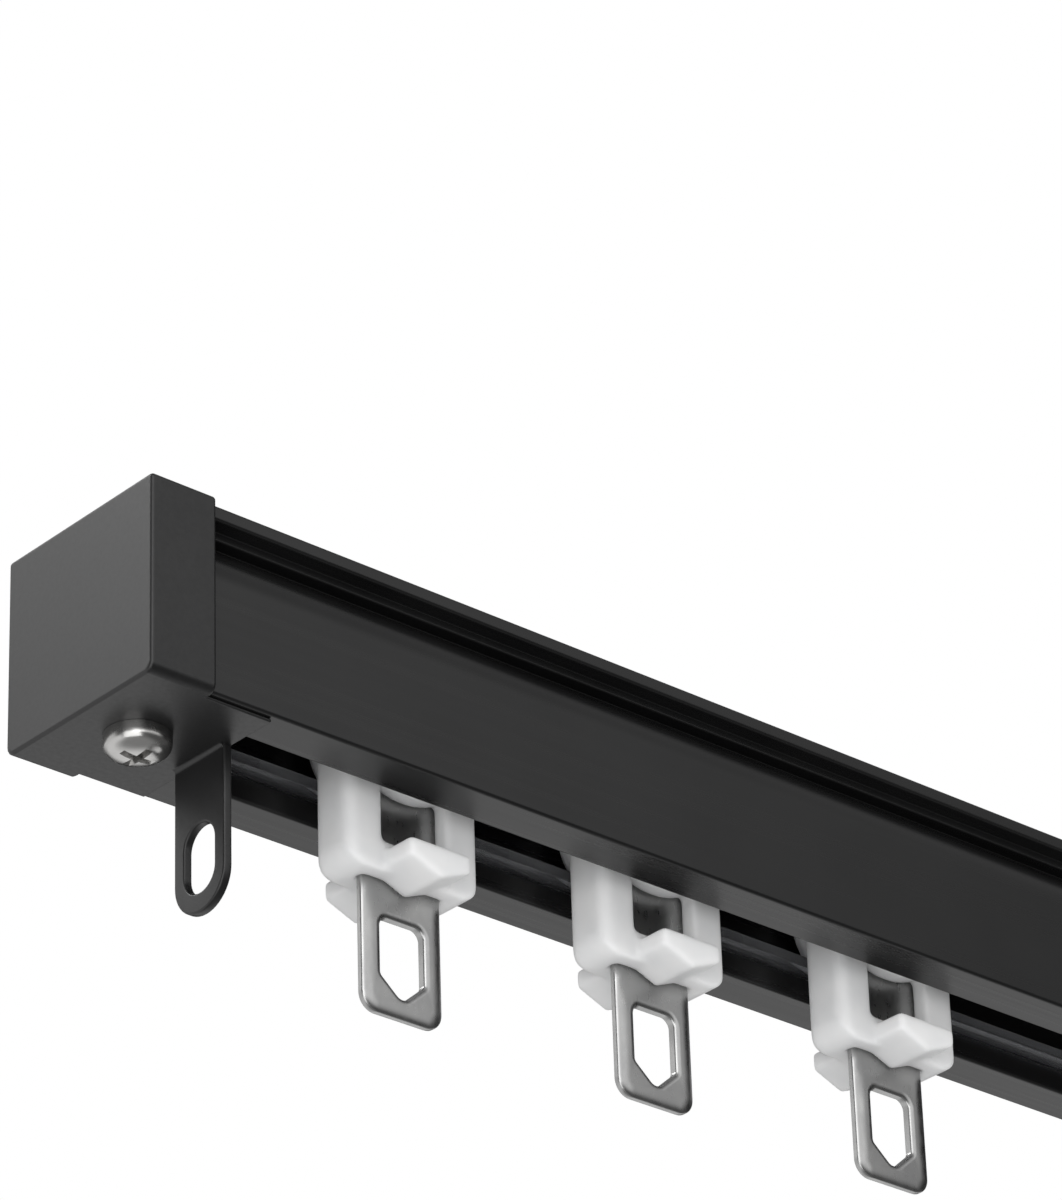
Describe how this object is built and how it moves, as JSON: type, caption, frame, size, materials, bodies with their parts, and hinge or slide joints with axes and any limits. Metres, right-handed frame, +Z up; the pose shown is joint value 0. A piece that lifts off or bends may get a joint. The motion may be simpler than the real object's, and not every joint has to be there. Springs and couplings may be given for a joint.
{
  "type": "curtain track",
  "caption": "Ceiling curtain track: slotted channel with end cap, running strips and sliding roller carriers, each with wheels and a hook plate.",
  "frame": {"origin": "centre of the profile's flat top face, half way along the 300 mm profile, where it meets the ceiling", "axes": "+X along the track from the capped end to the open end, +Y across it, +Z up into the ceiling"},
  "size_m": [0.3243, 0.027, 0.0502],
  "materials": {
    "track_black": "black anodised, satin",
    "cap_grey": "die cast, dark grey powder coat, satin",
    "screw_nickel": "polished",
    "clamp_steel": "zinc plated",
    "strip_clear": "clear",
    "nylon_white": "milky, semi-gloss",
    "hook_stainless": "tumbled and polished",
    "axle_black": "blackened"
  },
  "bodies": {
    "track": {"track_profile": "track_black", "end_cap": "cap_grey", "cap_screw": "screw_nickel", "cap_clamp_plate": "clamp_steel", "running_strip_left": "strip_clear", "running_strip_right": "strip_clear"},
    "carrier_1": {"carrier_1_body": "nylon_white", "carrier_1_hook_plate": "hook_stainless", "carrier_1_axle": "axle_black"},
    "carrier_1_wheel_left": {"carrier_1_wheel_left": "nylon_white"},
    "carrier_1_wheel_right": {"carrier_1_wheel_right": "nylon_white"},
    "carrier_2": {"carrier_2_body": "nylon_white", "carrier_2_hook_plate": "hook_stainless", "carrier_2_axle": "axle_black"},
    "carrier_2_wheel_left": {"carrier_2_wheel_left": "nylon_white"},
    "carrier_2_wheel_right": {"carrier_2_wheel_right": "nylon_white"},
    "carrier_3": {"carrier_3_body": "nylon_white", "carrier_3_hook_plate": "hook_stainless", "carrier_3_axle": "axle_black"},
    "carrier_3_wheel_left": {"carrier_3_wheel_left": "nylon_white"},
    "carrier_3_wheel_right": {"carrier_3_wheel_right": "nylon_white"},
    "carrier_4": {"carrier_4_body": "nylon_white", "carrier_4_hook_plate": "hook_stainless", "carrier_4_axle": "axle_black"},
    "carrier_4_wheel_left": {"carrier_4_wheel_left": "nylon_white"},
    "carrier_4_wheel_right": {"carrier_4_wheel_right": "nylon_white"}
  },
  "joints": [
    {"name": "carrier_1_slide", "type": "slide", "parent": "track", "child": "carrier_1", "axis": [1, 0, 0], "range_m": [-0.0179, 0.0096]},
    {"name": "carrier_1_wheel_left_roll", "type": "hinge", "parent": "carrier_1", "child": "carrier_1_wheel_left", "pos_m": [-0.1126, 0, -0.01285], "axis": [0, 1, 0], "continuous": true},
    {"name": "carrier_1_wheel_right_roll", "type": "hinge", "parent": "carrier_1", "child": "carrier_1_wheel_right", "pos_m": [-0.1126, 0, -0.01285], "axis": [0, 1, 0], "continuous": true},
    {"name": "carrier_2_slide", "type": "slide", "parent": "track", "child": "carrier_2", "axis": [1, 0, 0], "range_m": [-0.0096, 0.0096]},
    {"name": "carrier_2_wheel_left_roll", "type": "hinge", "parent": "carrier_2", "child": "carrier_2_wheel_left", "pos_m": [-0.0732, 0, -0.01285], "axis": [0, 1, 0], "continuous": true},
    {"name": "carrier_2_wheel_right_roll", "type": "hinge", "parent": "carrier_2", "child": "carrier_2_wheel_right", "pos_m": [-0.0732, 0, -0.01285], "axis": [0, 1, 0], "continuous": true},
    {"name": "carrier_3_slide", "type": "slide", "parent": "track", "child": "carrier_3", "axis": [1, 0, 0], "range_m": [-0.0096, 0.0817]},
    {"name": "carrier_3_wheel_left_roll", "type": "hinge", "parent": "carrier_3", "child": "carrier_3_wheel_left", "pos_m": [-0.0338, 0, -0.01285], "axis": [0, 1, 0], "continuous": true},
    {"name": "carrier_3_wheel_right_roll", "type": "hinge", "parent": "carrier_3", "child": "carrier_3_wheel_right", "pos_m": [-0.0338, 0, -0.01285], "axis": [0, 1, 0], "continuous": true},
    {"name": "carrier_4_slide", "type": "slide", "parent": "track", "child": "carrier_4", "axis": [1, 0, 0], "range_m": [-0.0817, 0.012]},
    {"name": "carrier_4_wheel_left_roll", "type": "hinge", "parent": "carrier_4", "child": "carrier_4_wheel_left", "pos_m": [0.15, 0, -0.01285], "axis": [0, 1, 0], "continuous": true},
    {"name": "carrier_4_wheel_right_roll", "type": "hinge", "parent": "carrier_4", "child": "carrier_4_wheel_right", "pos_m": [0.15, 0, -0.01285], "axis": [0, 1, 0], "continuous": true}
  ],
  "couplings": [
    {"joint": "carrier_1_wheel_left_roll", "follows": "carrier_1_slide", "rad_per_m": 148.15},
    {"joint": "carrier_1_wheel_right_roll", "follows": "carrier_1_slide", "rad_per_m": 148.15},
    {"joint": "carrier_2_wheel_left_roll", "follows": "carrier_2_slide", "rad_per_m": 148.15},
    {"joint": "carrier_2_wheel_right_roll", "follows": "carrier_2_slide", "rad_per_m": 148.15},
    {"joint": "carrier_3_wheel_left_roll", "follows": "carrier_3_slide", "rad_per_m": 148.15},
    {"joint": "carrier_3_wheel_right_roll", "follows": "carrier_3_slide", "rad_per_m": 148.15},
    {"joint": "carrier_4_wheel_left_roll", "follows": "carrier_4_slide", "rad_per_m": 148.15},
    {"joint": "carrier_4_wheel_right_roll", "follows": "carrier_4_slide", "rad_per_m": 148.15}
  ]
}
